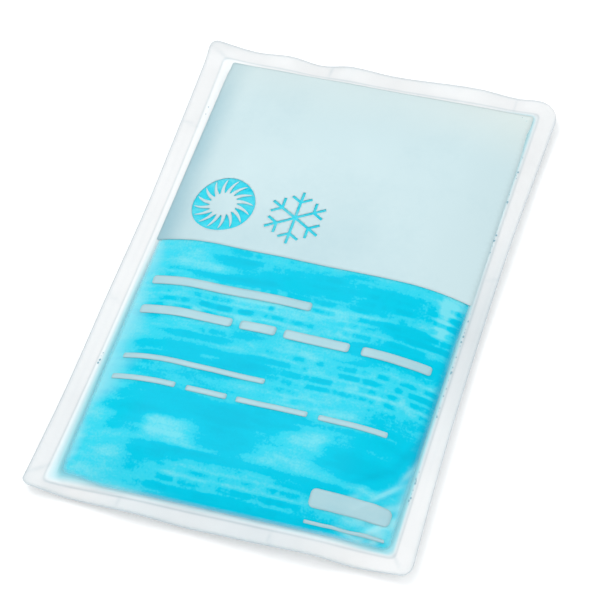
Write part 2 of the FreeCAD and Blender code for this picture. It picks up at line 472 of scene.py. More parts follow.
# Settings that many nodes share
TIMES = {"operation": "MULTIPLY"}
TIMES_PLUS = {"operation": "MULTIPLY_ADD"}
LESS = {"operation": "SUBTRACT"}
OVER = {"operation": "DIVIDE"}
LARGER = {"operation": "MAXIMUM"}
COLOURS = {"data_type": "RGBA"}
SOFTLY = {"interpolation_type": "SMOOTHSTEP"}


def new_tree(name: str) -> tuple[bpy.types.Material, bpy.types.NodeTree]:
    """Make an empty node material.

    Args:
        name: name of the material.

    Returns:
        The material and its node tree.
    """
    material = bpy.data.materials.new(name)
    material.use_nodes = True
    material.node_tree.nodes.clear()
    return material, material.node_tree


def add(tree: bpy.types.NodeTree, kind: Kind, settings: dict | None = None,
        **links: object) -> bpy.types.Node:
    """Add a node with its settings and its inputs.

    Args:
        tree: node tree that the node goes into.
        kind: kind of the node.
        settings: properties of the node.
        links: inputs by name, with _ for a space or iN for a place in the list; each is a value, a
            socket to link from, or a node whose first output is linked.

    Returns:
        The new node.
    """
    node = tree.nodes.new(kind.value)
    for key, value in (settings or {}).items():
        setattr(node, key, value)
    for key, value in links.items():
        place = int(key[1:]) if key[0] == "i" and key[1:].isdigit() else key.replace("_", " ")
        socket = node.inputs[place]
        source = value.outputs[0] if isinstance(value, bpy.types.Node) else value
        if isinstance(source, bpy.types.NodeSocket):
            tree.links.new(source, socket)
        else:
            socket.default_value = source
    return node


def grain(tree: bpy.types.NodeTree, size: float, detail: float = 2.0,
          stretch: tuple[float, float, float] = (1, 1, 1)) -> bpy.types.Node:
    """Noise on the piece's own coordinates.

    Args:
        tree: node tree.
        size: grain size in millimetres.
        detail: octaves of finer grain.
        stretch: how many times longer the grain is along each axis.

    Returns:
        The noise node, whose first output is a 0 to 1 value.
    """
    place = add(tree, Kind.COORDINATES).outputs["Object"]
    drawn = add(tree, Kind.MAPPING, Vector=place, Scale=tuple(1 / s for s in stretch))
    return add(tree, Kind.NOISE, Vector=drawn, Scale=1 / (size * MM), Detail=detail)


def surface(tree: bpy.types.NodeTree, relief: bpy.types.Node | None = None, depth: float = 0.0,
            **links: object) -> None:
    """Lay a Principled surface, with a relief pressed into it, to the material's output.

    Args:
        tree: node tree.
        relief: height pattern of the surface, if it has one.
        depth: depth of the relief in millimetres.
        links: inputs of the shader, as add takes them.
    """
    if relief:
        links["Normal"] = add(tree, Kind.BUMP, Height=relief, Distance=depth * MM, Strength=1.0)
    add(tree, Kind.MATERIAL_OUTPUT, Surface=add(tree, Kind.PRINCIPLED, **links))


@dataclass(frozen=True)
class ClearVinyl:
    """Calendered soft PVC film, clear with a faint milky haze.

    The eye sees a white sheen where it is doubled at the rim, with painted shade on it, painted
    cyan light next to the gel, and almost nothing over the gel. The real grain is some 0.1 mm;
    it is drawn as 1.6 mm to show.
    """

    name: str = "clear_vinyl"
    sheen_colour: str = "#FAFCFD"
    # grey-blue of the painted shade on the rim
    rim_shade_colour: str = "#C9D9E0"
    # cyan of the painted light that the gel lends the film beside it
    glow_colour: str = "#98E2EE"
    grain_size: float = 1.6
    grain_depth: float = 0.05
    cloud_size: float = 14.0
    cloud_share: float = 0.3
    roughness: float = 0.3
    ior: float = 1.53

    def make(self) -> bpy.types.Material:
        """Build the film's material; the mesh carries its haze, its painted shade and its painted cyan light.

        Returns:
            The material.
        """
        material, tree = new_tree(self.name)
        haze, shade, glow = (add(tree, Kind.ATTRIBUTE, {"attribute_name": name}).outputs["Fac"]
                             for name in ("haze", "shade", "glow"))
        # painted shade: the rim's shade from the mesh, made uneven by a stretched cloud noise as gentle
        # ripples would shade it
        cloud = grain(tree, self.cloud_size, 2.0, (1.0, 2.6, 1.0))
        shade = add(tree, Kind.MATH, TIMES_PLUS, i0=cloud, i1=self.cloud_share, i2=shade)
        shade = add(tree, Kind.MATH, LESS, i0=shade, i1=self.cloud_share / 2)
        shade = add(tree, Kind.CLAMP, Value=shade)
        # the film's white is drawn towards the painted shade colour, then towards the painted cyan light
        colour = linear(self.sheen_colour)
        for share, code in ((shade, self.rim_shade_colour), (glow, self.glow_colour)):
            colour = add(tree, Kind.MIX, COLOURS, i0=share, i6=colour, i7=linear(code)).outputs[2]
        surface(tree, grain(tree, self.grain_size, 3.0), self.grain_depth, Base_Color=colour,
                Roughness=self.roughness, IOR=self.ior, Alpha=haze)
        return material


@dataclass(frozen=True)
class CutFilmEdge:
    """Edge of the trimmed PVC film, which gathers light and reads as a thin grey line."""

    name: str = "cut_film_edge"
    colour: str = "#C3D3DA"
    light: str = "#DDE8EC"
    grain_size: float = 9.0
    roughness: float = 0.35
    ior: float = 1.53

    def make(self) -> bpy.types.Material:
        """Build the edge's material.

        Returns:
            The material.
        """
        material, tree = new_tree(self.name)
        colour = add(tree, Kind.MIX, COLOURS, i0=grain(tree, self.grain_size), i6=linear(self.colour),
                     i7=linear(self.light)).outputs[2]
        surface(tree, Base_Color=colour, Roughness=self.roughness, IOR=self.ior)
        return material


@dataclass(frozen=True)
class CyanGel:
    """Water-based gel, dyed cyan, seen through the film.

    Where it wets the film it is deep and clear; where a thin layer of air lies between, it is
    pale and cloudy. The border of such a patch is grainy. Rows of short dashes come from the
    lines on the back, seen through the gel.
    """

    name: str = "cyan_gel"
    stops: tuple[tuple[float, str], ...] = ((0.08, "#78DDEA"), (0.44, "#38D3E8"), (0.58, "#00C9E4"),
                                            (0.95, "#00C2DE"))
    # pale of thin gel, also the colour of the painted highlights where the film shines
    thin: str = "#A2E2EC"
    # deep cyan of the bands along the right side and the foot, and of the painted shade in the turns
    fold: str = "#02A6C8"
    scatter: float = 1.5
    scatter_share: float = 0.7
    speck_size: float = 0.8
    speck_share: float = 0.3
    smear_size: float = 2.0
    smear_share: float = 0.34
    row_pitch: float = 3.4
    row_bend: float = 1.4
    row_bend_size: float = 16.0
    row_offset: float = 7.31
    dash: float = 8.0
    relief_size: float = 3.5
    relief_depth: float = 0.04
    roughness: float = 0.26
    ior: float = 1.4
    gloss: float = 0.06

    def dashes(self, tree: bpy.types.NodeTree) -> bpy.types.Node:
        """Add rows of short dashes along X.

        Args:
            tree: node tree of the gel.

        Returns:
            The node whose first output is 1 on a dash and 0 between.
        """
        place = add(tree, Kind.SEPARATE, Vector=add(tree, Kind.COORDINATES).outputs["Object"])
        bent = add(tree, Kind.MATH, TIMES_PLUS, i0=grain(tree, self.row_bend_size),
                   i1=self.row_bend * MM, i2=place.outputs[1])
        rows = add(tree, Kind.MATH, OVER, i0=bent, i1=self.row_pitch * MM)
        row = add(tree, Kind.MATH, {"operation": "FLOOR"}, i0=rows)
        spot = add(tree, Kind.COMBINE, X=add(tree, Kind.MATH, OVER, i0=place.outputs[0], i1=self.dash * MM),
                   Y=add(tree, Kind.MATH, TIMES, i0=row, i1=self.row_offset))
        along = add(tree, Kind.NOISE, Vector=spot, Scale=1.0, Detail=2.0, Roughness=0.6)
        in_row = add(tree, Kind.MATH, {"operation": "FRACT"}, i0=rows)
        off_middle = add(tree, Kind.MATH, {"operation": "ABSOLUTE"},
                         i0=add(tree, Kind.MATH, LESS, i0=in_row, i1=0.5))
        band = add(tree, Kind.RANGE, SOFTLY, Value=off_middle, From_Min=0.48, From_Max=0.12)
        mark = add(tree, Kind.RANGE, SOFTLY, Value=along, From_Min=0.38, From_Max=0.6)
        return add(tree, Kind.MATH, TIMES, i0=band, i1=mark)

    def place_stops(self, ramp: bpy.types.ColorRamp) -> None:
        """Put the gel's colours on a ramp from dry to wet.

        Args:
            ramp: colour ramp of the node.
        """
        ramp.interpolation = "EASE"
        while len(ramp.elements) < len(self.stops):
            ramp.elements.new(0.5)
        for element, (place, code) in zip(ramp.elements, self.stops):
            element.position = place
            element.color = linear(code)

    def make(self) -> bpy.types.Material:
        """Build the material; the mesh carries its wetting, rows, thinness with painted highlights, and deep
        bands with painted shade.

        Returns:
            The material.
        """
        material, tree = new_tree(self.name)
        wet, rows, thinness_and_glints, fold = (add(tree, Kind.ATTRIBUTE, {"attribute_name": name}).outputs["Fac"]
                                     for name in ("wetting", "rows", "thinness_and_glints", "fold"))
        specks, smears = grain(tree, self.speck_size), grain(tree, self.smear_size, 3.0, (3.0, 1.0, 1.0))
        patterns = ((specks, 0.5, self.speck_share), (smears, 0.5, self.smear_share),
                    (self.dashes(tree), 0.45, rows))
        for pattern, middle, strength in patterns:
            centred = add(tree, Kind.MATH, LESS, i0=pattern, i1=middle)
            wet = add(tree, Kind.MATH, TIMES_PLUS, i0=centred, i1=strength, i2=wet)
        colour = add(tree, Kind.RAMP, Fac=wet)
        self.place_stops(colour.color_ramp)
        # deep bands, with painted shade in the turns, and pale thin gel, with painted highlights
        for share, code in ((fold, self.fold), (thinness_and_glints, self.thin)):
            colour = add(tree, Kind.MIX, COLOURS, i0=share, i6=colour, i7=linear(code)).outputs[2]
        surface(tree, grain(tree, self.relief_size), self.relief_depth, Base_Color=colour,
                Roughness=self.roughness, IOR=self.ior, Specular_IOR_Level=self.gloss,
                Subsurface_Weight=self.scatter_share, Subsurface_Radius=(0.4, 1.0, 1.0),
                Subsurface_Scale=self.scatter * MM)
        return material


@dataclass(frozen=True)
class PaleInk:
    """Pale blue-grey screen ink in a thick even coat, satin, with the gel's colour faint behind.

    Fields:
        shade_left, shade_low: x and y between which the painted shade grows, to the left and downwards.
        light_high, light_right: y and x between which the painted light grows, upwards and to the right.
        left_share, low_share, low_loss: how strong the painted shade is at the left side and the foot,
            and how much less so the foot is on the right.
        high_share, high_gain: how strong the painted light at the top is, and how much more on the right.
    """

    name: str = "pale_screen_ink"
    body: str = "#C4DCE1"
    # colour of the painted shade, which the random clouds and mottle also draw towards
    shade_and_mottle: str = "#94BDC9"
    # colour of the painted light
    painted_light: str = "#D3E1E0"
    shade_left: tuple[float, float] = (-46, -60)
    shade_low: tuple[float, float] = (40, 4)
    light_high: tuple[float, float] = (62, 94)
    light_right: tuple[float, float] = (6, 60)
    left_share: float = 0.8
    low_share: float = 0.3
    low_loss: float = 0.4
    high_share: float = 0.4
    high_gain: float = 0.6
    cloud_size: float = 30.0
    cloud_share: float = 0.5
    mottle_size: float = 2.4
    mottle_share: float = 0.16
    tooth_size: float = 1.2
    tooth_depth: float = 0.015
    roughness: float = 0.42
    ior: float = 1.48

    def make(self) -> bpy.types.Material:
        """Build the ink's material: painted shade to the left and below, painted light along the top, most at
        the upper right, over random clouds and mottle.

        Returns:
            The material.
        """
        material, tree = new_tree(self.name)
        place = add(tree, Kind.SEPARATE, Vector=add(tree, Kind.COORDINATES).outputs["Object"])
        x, y = place.outputs[0], place.outputs[1]
        # painted shade to the left and below, painted light at the top and to the right
        left, low, high, right = (
            add(tree, Kind.RANGE, SOFTLY, Value=value, From_Min=start * MM, From_Max=end * MM)
            for value, (start, end) in ((x, self.shade_left), (y, self.shade_low),
                                        (y, self.light_high), (x, self.light_right)))
        below = add(tree, Kind.MATH, TIMES_PLUS, i0=right, i1=-self.low_loss, i2=self.low_share)
        below = add(tree, Kind.MATH, TIMES, i0=low, i1=below)
        shade_and_mottle = add(tree, Kind.MATH, TIMES_PLUS, i0=left, i1=self.left_share, i2=below)
        clouds, mottle = grain(tree, self.cloud_size, 3.0), grain(tree, self.mottle_size, 4.0)
        for pattern, strength in ((clouds, self.cloud_share), (mottle, self.mottle_share)):
            centred = add(tree, Kind.MATH, LESS, i0=pattern, i1=0.5)
            shade_and_mottle = add(tree, Kind.MATH, TIMES_PLUS, i0=centred, i1=strength, i2=shade_and_mottle)
        painted_light = add(tree, Kind.MATH, TIMES_PLUS, i0=right, i1=self.high_gain, i2=self.high_share)
        painted_light = add(tree, Kind.MATH, TIMES, i0=high, i1=painted_light)
        colour = linear(self.body)
        for share, code in ((shade_and_mottle, self.shade_and_mottle), (painted_light, self.painted_light)):
            colour = add(tree, Kind.MIX, COLOURS, i0=share, i6=colour, i7=linear(code)).outputs[2]
        surface(tree, grain(tree, self.tooth_size), self.tooth_depth, Base_Color=colour,
                Roughness=self.roughness, IOR=self.ior)
        return material


@dataclass(frozen=True)
class SilverInk:
    """Thin silver-grey screen ink, which looks a little worn where it is thinnest."""

    name: str = "silver_grey_ink"
    colour: str = "#B2D1D8"
    worn: str = "#93C6D2"
    wear_size: float = 6.0
    roughness: float = 0.38
    ior: float = 1.48

    def make(self) -> bpy.types.Material:
        """Build the ink's material.

        Returns:
            The material.
        """
        material, tree = new_tree(self.name)
        wear = grain(tree, self.wear_size, 4.0, (2.0, 1.0, 1.0))
        colour = add(tree, Kind.MIX, COLOURS, i0=wear, i6=linear(self.colour),
                     i7=linear(self.worn)).outputs[2]
        surface(tree, Base_Color=colour, Roughness=self.roughness, IOR=self.ior)
        return material


def new_mesh(name: str, points: Array, faces: Sequence[Sequence[int]]) -> bpy.types.Object:
    """Make an object at the origin.

    Args:
        name: name of the object and its mesh.
        points: points in millimetres.
        faces: places of each face's points in that list.

    Returns:
        The object, smooth all over.
    """
    mesh = bpy.data.meshes.new(name)
    mesh.from_pydata([tuple(p) for p in (points * MM).tolist()], [], [list(f) for f in faces])
    mesh.update()
    piece = bpy.data.objects.new(name, mesh)
    bpy.context.scene.collection.objects.link(piece)
    for polygon in mesh.polygons:
        polygon.use_smooth = True
    return piece


def carry(piece: bpy.types.Object, name: str, values: Array) -> None:
    """Store one value for each point of a mesh."""
    layer = piece.data.attributes.new(name, "FLOAT", "POINT")
    layer.data.foreach_set("value", values.astype(np.float32))


def places(low: float, high: float, pitch: float) -> list[float]:
    """Evenly spaced places from low to high, about a pitch apart."""
    count = max(1, math.ceil((high - low) / pitch))
    return [low + (high - low) * k / count for k in range(count + 1)]


@dataclass
class Sheet:
    """A grid over a four-sided outline with rounded corners.

    Fields:
        outer: outline that the grid ends at.
        inner: outline that one grid line follows all round.
        radii: corner radii of the outer outline, round from the bottom left.
        pitch: distance between grid lines inside.
        rim_lines: places of the grid lines between the two outlines, 0 outside to 1.
        ledge: distances of the first lines inside the inner outline.
        rows, columns: how many lines the grid has, known once it is made.
    """

    outer: Outline
    inner: Outline
    radii: tuple[float, float, float, float]
    pitch: float
    rim_lines: tuple[float, ...] = (0.0, 0.04, 0.18, 0.36, 0.54, 0.7, 0.82, 0.9, 0.95, 1.0)
    ledge: tuple[float, ...] = (0.3, 0.7, 1.3)
    rows: int = field(init=False, default=0)
    columns: int = field(init=False, default=0)

    def lines(self, outer_low: float, inner_low: float, inner_high: float, outer_high: float) -> Array:
        """Places of the grid lines along one axis.

        Args:
            outer_low: lower side of the outer outline.
            inner_low: lower side of the inner one.
            inner_high: upper side of the inner one.
            outer_high: upper side of the outer one.

        Returns:
            The places, sorted.
        """
        low = [outer_low + (inner_low - outer_low) * t for t in self.rim_lines]
        high = [outer_high + (inner_high - outer_high) * t for t in self.rim_lines]
        start, end = inner_low + self.ledge[-1], inner_high - self.ledge[-1]
        middle = places(start, end, self.pitch)
        near = [inner_low + g for g in self.ledge[:-1]] + [inner_high - g for g in self.ledge[:-1]]
        return np.array(sorted(set(low + high + middle + near)))

    def grid(self) -> tuple[Array, Array]:
        """Lay out the grid.

        Returns:
            X and Y of each point, row by row.
        """
        o, i = self.outer, self.inner
        xs = self.lines(o.left, i.left, i.right, o.right)
        ys = self.lines(o.bottom, i.bottom, i.top, o.top)
        self.columns, self.rows = len(xs), len(ys)
        x, y = np.meshgrid(xs, ys)
        corners = ((o.left, o.bottom), (o.right, o.bottom), (o.right, o.top), (o.left, o.top))
        for (cx, cy), radius in zip(corners, self.radii):
            sx, sy = np.sign(cx), np.sign(cy)
            px, py = (x - (cx - sx * radius)) * sx, (y - (cy - sy * radius)) * sy
            turned = (px > 0) & (py > 0)
            share = np.where(turned, np.maximum(px, py) / np.maximum(np.hypot(px, py), 1e-9), 1.0)
            x = np.where(turned, cx - sx * radius + px * share * sx, x)
            y = np.where(turned, cy - sy * radius + py * share * sy, y)
        warped_x = self.between(x, (o.left, i.left, i.right, o.right),
                                (o.left_at(y), i.left_at(y), i.right_at(y), o.right_at(y)))
        warped_y = self.between(y, (o.bottom, i.bottom, i.top, o.top),
                                (o.bottom_at(x), i.bottom_at(x), i.top_at(x), o.top_at(x)))
        return warped_x, warped_y

    @staticmethod
    def between(place: Array, straight: Sequence[float], bowed: Sequence[Array]) -> Array:
        """Carry places between straight lines over to the bowed lines.

        Args:
            place: places along one axis.
            straight: the four straight lines, from low to high.
            bowed: the same four lines, bowed, at each place.

        Returns:
            The places on the bowed grid.
        """
        spans = []
        for k in range(3):
            share = (place - straight[k]) / (straight[k + 1] - straight[k])
            spans.append(bowed[k] + (bowed[k + 1] - bowed[k]) * share)
        return np.where(place > straight[2], spans[2], np.where(place > straight[1], spans[1], spans[0]))

    def solid(self, name: str, x: Array, y: Array, top: Array,
              bottom: Array) -> tuple[bpy.types.Object, int]:
        """Closed piece between two faces over the same grid.

        Args:
            name: name of the piece.
            x: places across.
            y: places along.
            top: height of the upper face.
            bottom: height of the lower face.

        Returns:
            The piece, and how many of its faces are the two big ones; the rest are its edge.
        """
        n = self.rows * self.columns
        points = np.concatenate([np.stack([x, y, z], -1).reshape(-1, 3) for z in (top, bottom)])
        index = np.arange(n).reshape(self.rows, self.columns)
        a, b, c, d = index[:-1, :-1], index[:-1, 1:], index[1:, 1:], index[1:, :-1]
        upper = np.stack([a, b, c, d], -1).reshape(-1, 4)
        lower = np.stack([d, c, b, a], -1).reshape(-1, 4) + n
        ring = np.concatenate([index[0, :-1], index[:-1, -1], index[-1, :0:-1], index[:0:-1, 0]])
        after = np.roll(ring, -1)
        edge = np.stack([ring + n, after + n, after, ring], -1)
        piece = new_mesh(name, points, np.concatenate([upper, lower, edge]).tolist())
        return piece, len(upper) + len(lower)


def finish_piece(piece: bpy.types.Object, nodes: Sequence[Node] = ()) -> None:
    """Hand a finished piece to the frame.

    Args:
        piece: the piece, in place.
        nodes: solids of the part that it stands for.
    """
    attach(piece, "root")
    if nodes:
        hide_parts(*[node.value for node in nodes])
    log.info("%s: %d faces", piece.name, len(piece.data.polygons))


@dataclass
class Films:
    """The two welded films, each a thin closed sheet.

    Fields:
        pitch: distance between the lines of the grid.
        rim_haze, gap_haze, gel_haze: milkiness of the rim, beside the gel and over it, 0 to 1.
        left_haze: how much more of it the left side has beside the gel.
        line_loss: light lost at the weld line and the cut edge.
        side_loss, low_loss, left_loss: light that the rim loses at the right, below and at the left.
        glow, glow_low, glow_right: painted cyan light beside the gel, everywhere, lower down and on the
            right.
        glow_left: painted cyan light over the gel's left edge, beside the window.
        kink_shades: painted shade lines where the rim has small folds; the mesh has no such folds.
    """

    pitch: float = 1.1
    rim_haze: float = 0.68
    gap_haze: float = 0.72
    gel_haze: float = 0.0
    left_haze: float = 0.16
    line_loss: float = 0.5
    side_loss: float = 0.36
    low_loss: float = 0.36
    left_loss: float = 0.22
    glow: float = 0.06
    glow_low: float = 0.45
    glow_right: float = 0.9
    glow_left: float = 0.5
    kink_shades: tuple[Crease, ...] = (
        Crease((-20.0, 101.0), (-20.6, 94.4), 0.7, 0.6), Crease((52.6, 101.0), (53.2, 93.8), 0.6, 0.6),
        Crease((-68.0, 98.0), (-60.5, 94.0), 0.5, 0.7), Crease((-69.0, 62.0), (-61.5, 60.5), 0.5, 0.6),
        Crease((-69.0, -20.0), (-61.5, -22.5), 0.35, 0.7), Crease((-69.5, -96.0), (-62.0, -91.0), 0.6, 0.8),
        Crease((66.0, -99.0), (61.5, -93.0), 0.6, 0.7), Crease((-35.0, -101.0), (-34.0, -96.6), 0.5, 0.7),
        Crease((21.0, -102.0), (20.0, -96.8), 0.5, 0.7), Crease((69.0, 20.0), (62.5, 18.0), 0.35, 0.7),
        Crease((-64.8, 84.0), (-65.2, -88.0), 0.16, 0.6), Crease((65.6, 76.0), (65.2, -84.0), 0.2, 0.6),
    )

    def haze(self, x: Array, y: Array) -> Array:
        """Milkiness of the film: welded rim, strip beside the gel, then almost nothing over the gel.

        Args:
            x: places across.
            y: places along.

        Returns:
            The haze at each place, 0 to 1.
        """
        inside = soft_step(WELD.depth(x, y, WELD_RADIUS), -0.4, 0.4)
        left = soft_step(-x, 40, 56)
        over_gel = soft_step(GEL_EDGE.depth(x, y, GEL_RADIUS), -0.4 + 0.8 * left, 1.0 + 2.4 * left)
        value = self.rim_haze + (self.gap_haze - self.rim_haze + self.left_haze * left) * inside
        return value + (self.gel_haze - value) * over_gel

    def shade(self, x: Array, y: Array) -> Array:
        """Light that the rim loses at its fold lines and on the side away from the light.

        Args:
            x: places across.
            y: places along.

        Returns:
            The loss at each place, 0 to 1.
        """
        weld = np.exp(-(WELD.depth(x, y, WELD_RADIUS) / 0.4) ** 2)
        # the small folds of the rim add painted shade lines across it
        edge = np.exp(-(CUT.depth(x, y, CUT_RADIUS) / 0.7) ** 2) + sum(kink.at(x, y) for kink in self.kink_shades)
        side = soft_step(x, 50, 64) * np.exp(-((y + 5) / 40) ** 2)
        low = (1 - soft_step(y, -99, -80)) * soft_step(x, -60, -20) * (1 - soft_step(x, 10, 50))
        left = soft_step(-x, 50, 62) * soft_step(-y, 20, 90)
        loss = self.side_loss * side + self.low_loss * low + self.left_loss * left
        return np.clip(self.line_loss * (weld + edge) + loss, 0, 1)

    def lent_glow(self, x: Array, y: Array) -> Array:
        """Painted cyan light that the gel lends the strip beside it, more towards the lower end.

        Args:
            x: places across.
            y: places along.

        Returns:
            The share of cyan at each place, 0 to 1.
        """
        strip = soft_step(WELD.depth(x, y, WELD_RADIUS), 0.0, 2.2)
        strip *= self.glow + self.glow_low * soft_step(-y, -30, 50) + self.glow_right * soft_step(x, 40, 60)
        near = soft_step(GEL_EDGE.depth(x, y, GEL_RADIUS), -0.9, 1.6)
        near *= soft_step(-x, 20, 56) * soft_step(-y, -14, 20)
        return np.clip(strip + self.glow_left * near, 0, 1)

    def build(self, film: bpy.types.Material, edge: bpy.types.Material) -> list[bpy.types.Object]:
        """Make and dress both films.

        Args:
            film: finish of their faces.
            edge: finish of their cut edges.

        Returns:
            The two pieces.
        """
        pieces = []
        for name, node, face, sign in (("front_film_skin", Node.FRONT_FILM, FORM.front_face, 1),
                                       ("back_film_skin", Node.BACK_FILM, FORM.back_face, -1)):
            sheet = Sheet(CUT, WELD, CUT_RADII, self.pitch)
            x, y = sheet.grid()
            inner = FORM.lining(x, y) if sign > 0 else 0.0
            outside, inside = face(x, y, FILM), face(x, y, inner)
            top, bottom = (outside, inside) if sign > 0 else (inside, outside)
            piece, big = sheet.solid(name, x, y, top, bottom)
            for finish in (film, edge):
                piece.data.materials.append(finish)
            for polygon in piece.data.polygons[big:]:
                polygon.material_index = 1
                polygon.use_smooth = False
            for key, values in (("haze", self.haze(x, y)), ("shade", self.shade(x, y)),
                                ("glow", self.lent_glow(x, y))):
                carry(piece, key, np.tile(values.ravel(), 2))
            finish_piece(piece, [node])
            pieces.append(piece)
        return pieces


@dataclass(frozen=True)
class Patch:
    """A soft-edged patch where the gel wets the film, or lies off it.

    Fields:
        x, y: its middle.
        half_width, half_height: half of its size.
        strength: change of wetting, negative where the gel lies off the film.
    """

    x: float
    y: float
    half_width: float
    half_height: float
    strength: float

    def at(self, x: Array, y: Array) -> Array:
        """Change of wetting that the patch brings.

        Args:
            x: places across.
            y: places along.

        Returns:
            The change at each place.
        """
        away = ((x - self.x) / self.half_width) ** 4 + ((y - self.y) / self.half_height) ** 4
        return self.strength * np.exp(-away * 0.7)


@dataclass
class Gel:
    """The gel filling: one closed soft body from film to film.

    Fields:
        pitch: distance between the lines of the grid.
        streaks, blots: random unevenness of the wetting, drawn out and round.
        patches: where the gel wets the film or lies off it.
        lines: where the rows of dashes show.
        glints: painted highlights, pale streaks where the film shines.
        turns: painted shade in the creases where the film turns down.
        wet, streak_share, blot_share: level of the wetting, and how uneven it is.
        row_share, row_blots: the same for the rows of dashes.
        left_width, left_swell, left_blots: width of the pale left edge, how much wider it is
            halfway down the window, and how uneven.
        left_pale, low_pale: how pale the left edge and the lower left edge are.
        side_fold, turn_shade, foot_fold: how deep the colour is along the right side and along the foot,
        and how strong the painted shade in the turns is.
        core_inset: distance from the edge to the grid line that follows it all round.
        corner: radius of the corners.
        round_over, least_bulge: width of the edge's round, and its share of the height left there.
    """

    pitch: float = 1.0
    streaks: Ripple = Ripple(21, 4.0, 13.0, 4.5, 40)
    blots: Ripple = Ripple(8, 9.0, 30.0, 1.8, 30)
    patches: tuple[Patch, ...] = (
        Patch(-25, 0.2, 8.5, 1.9, 0.34), Patch(17, -3.4, 34, 6, 0.36), Patch(-26, -7, 14.5, 1.3, 0.3),
        Patch(44.5, -13.5, 12, 2.7, 0.36), Patch(-25, -19.5, 20, 1.8, 0.3), Patch(40.5, -24, 15.5, 6.4, 0.32),
        Patch(-28, -33.2, 12.5, 1.4, 0.3), Patch(-19.5, -40.8, 26, 4.7, 0.38), Patch(50, -58, 10, 12, 0.28),
        Patch(45, -70, 9, 5, 0.3), Patch(-11, -61, 34, 5.6, 0.38), Patch(-2, -78, 31, 1.5, 0.34),
        Patch(13, -87, 16, 1.1, 0.34), Patch(-5, -70.5, 9, 6, 0.32), Patch(-41, -70, 7, 6, 0.2),
        Patch(15, -92, 38, 3.2, 0.3), Patch(-30, -84, 8, 5, 0.22), Patch(36, -80, 8, 3, 0.2),
        Patch(31, -37.5, 25, 5.6, 0.12), Patch(35, -66, 7, 9, 0.24), Patch(-30, -50, 24, 3.5, 0.14),
        Patch(-48, -20, 4, 12, 0.1), Patch(-8, -28, 8, 3, 0.16), Patch(57.5, -14, 2, 12, 0.2),
        Patch(24, -5, 3.4, 1.6, -0.2), Patch(54.5, -4, 2.6, 7, -0.34), Patch(-20.5, -40.3, 3.6, 0.9, -0.3),
        Patch(-27, -70.5, 7, 3.4, -0.24), Patch(-50, -10, 9, 10, -0.1), Patch(-23, -35.8, 17, 1.2, -0.16),
        Patch(23.5, -63.5, 8, 3.4, -0.3), Patch(11, -14, 18, 3, -0.06), Patch(50, -86, 8, 6, -0.2),
    )
    lines: tuple[Patch, ...] = (
        Patch(20, -4, 34, 7, 0.16), Patch(31, -37.5, 27, 6.5, 0.36), Patch(10, -18, 46, 8, 0.2),
        Patch(-25, -20, 22, 5, 0.3), Patch(30, -52, 20, 8, 0.12), Patch(0, -86, 32, 5, 0.14),
        Patch(55, -6, 4, 12, 0.4),
    )
    glints: tuple[Crease, ...] = (
        Crease((58.5, -69.0), (50.0, -79.0), 0.7, 0.9), Crease((60.0, -76.5), (47.0, -87.0), 0.8, 1.1),
        Crease((59.5, -82.5), (50.0, -92.0), 0.9, 1.2), Crease((55.0, -94.5), (41.0, -90.0), 0.7, 1.0),
        Crease((46.0, -78.0), (40.0, -83.0), 0.5, 1.0), Crease((60.5, -60.0), (57.0, -69.0), 0.5, 0.8),
        Crease((57.0, -88.0), (53.0, -94.0), 0.8, 1.3), Crease((60.5, -2.0), (60.0, -22.0), 0.35, 0.6),
        Crease((60.9, -60.0), (59.8, -92.0), 0.7, 1.5),
    )
    turns: tuple[Crease, ...] = (
        Crease((60.0, -48.0), (54.0, -66.0), 0.9, 1.4), Crease((54.0, -66.0), (42.0, -75.0), 0.9, 1.3),
        Crease((58.5, -72.5), (47.0, -83.0), 0.8, 1.0), Crease((58.0, -80.0), (49.0, -88.5), 0.8, 1.0),
    )
    wet: float = 0.38
    streak_share: float = 0.09
    blot_share: float = 0.05
    row_share: float = 0.06
    row_blots: float = 0.08
    left_width: float = 6.0
    left_swell: float = 7.0
    left_blots: float = 2.5
    left_pale: float = 0.9
    low_pale: float = 0.4
    side_fold: float = 0.7
    turn_shade: float = 0.35
    foot_fold: float = 0.4
    core_inset: float = 2.5
    corner: float = 2.4
    round_over: float = 0.6
    least_bulge: float = 0.15

    def wetting(self, x: Array, y: Array) -> Array:
        """How well the gel wets the front film.

        Args:
            x: places across.
            y: places along.

        Returns:
            The wetting at each place, 0 to 1.
        """
        value = self.wet + self.streak_share * self.streaks.at(x, y) + self.blot_share * self.blots.at(x, y)
        value += sum(patch.at(x, y) for patch in self.patches)
        return np.clip(value, 0, 1)

    def rows(self, x: Array, y: Array) -> Array:
        """How strongly the lines on the back show through, most in the upper half of the window."""
        value = self.row_share + sum(patch.at(x, y) for patch in self.lines)
        return np.clip(value + self.row_blots * self.blots.at(x, y), 0, 1)

    def thinness_and_glints(self, x: Array, y: Array) -> Array:
        """How far the gel pales where it runs out, most on the left and at the bottom left, with painted
        highlights where the film shines.

        Args:
            x: places across.
            y: places along.

        Returns:
            The share of the pale colour at each place, 0 to 1.
        """
        middle = soft_step(-y, 8, 30) * (1 - soft_step(-y, 50, 76))
        spread = self.left_width + self.left_blots * self.blots.at(x, y) + self.left_swell * middle
        left = 1 - soft_step((x - GEL_EDGE.left_at(y)) / spread, -0.15, 1.1)
        low = 1 - soft_step(y - GEL_EDGE.bottom_at(x), -1.0, 4.0)
        # painted highlights where the film shines, as pale streaks
        glints = sum(streak.at(x, y) for streak in self.glints)
        low *= soft_step(-x, 10, 45)
        return np.clip(self.left_pale * left + self.low_pale * low + glints, 0, 1)

